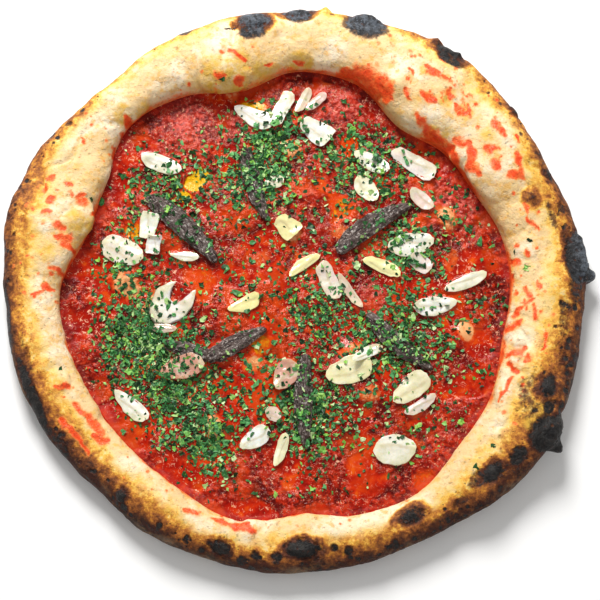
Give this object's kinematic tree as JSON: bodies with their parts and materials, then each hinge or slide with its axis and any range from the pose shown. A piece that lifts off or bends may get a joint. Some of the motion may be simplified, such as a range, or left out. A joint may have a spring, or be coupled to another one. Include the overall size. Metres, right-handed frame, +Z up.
{
  "type": "marinara pizza",
  "caption": "Round wood-fired pizza with a puffed, charred rim, tomato sauce, garlic slices, anchovy fillets and chopped parsley.",
  "frame": {"origin": "middle of the pizza's outline, on its flat underside", "axes": "+Z up out of the topping side; +Y towards the side with the largest rim bubble, +X to its right as seen from above"},
  "size_m": [0.3217, 0.317, 0.0267],
  "materials": {
    "dough": "baked wheat dough, cream to golden with dark brown and black charred spots",
    "sauce": "wet crushed tomato with oil, deep red to orange",
    "anchovy": "oily grey-brown fish fillet with lengthwise fibres",
    "garlic": "thin moist garlic slice, cream white and slightly see-through"
  },
  "bodies": {
    "root": {"dough": "dough", "sauce": "sauce", "anchovy_1": "anchovy", "anchovy_2": "anchovy", "anchovy_3": "anchovy", "anchovy_4": "anchovy", "anchovy_5": "anchovy", "anchovy_6": "anchovy", "anchovy_7": "anchovy", "garlic_1": "garlic", "garlic_2": "garlic", "garlic_3": "garlic", "garlic_4": "garlic", "garlic_5": "garlic", "garlic_6": "garlic", "garlic_7": "garlic", "garlic_8": "garlic", "garlic_9": "garlic", "garlic_10": "garlic", "garlic_11": "garlic", "garlic_12": "garlic", "garlic_13": "garlic", "garlic_14": "garlic", "garlic_15": "garlic", "garlic_16": "garlic", "garlic_17": "garlic", "garlic_18": "garlic", "garlic_19": "garlic", "garlic_20": "garlic", "garlic_21": "garlic", "garlic_22": "garlic", "garlic_23": "garlic", "garlic_24": "garlic", "garlic_25": "garlic", "garlic_26": "garlic", "garlic_27": "garlic", "garlic_28": "garlic", "garlic_29": "garlic", "garlic_30": "garlic", "garlic_31": "garlic", "garlic_32": "garlic", "garlic_33": "garlic", "garlic_34": "garlic", "garlic_35": "garlic", "garlic_36": "garlic", "garlic_37": "garlic", "garlic_38": "garlic"}
  },
  "joints": []
}
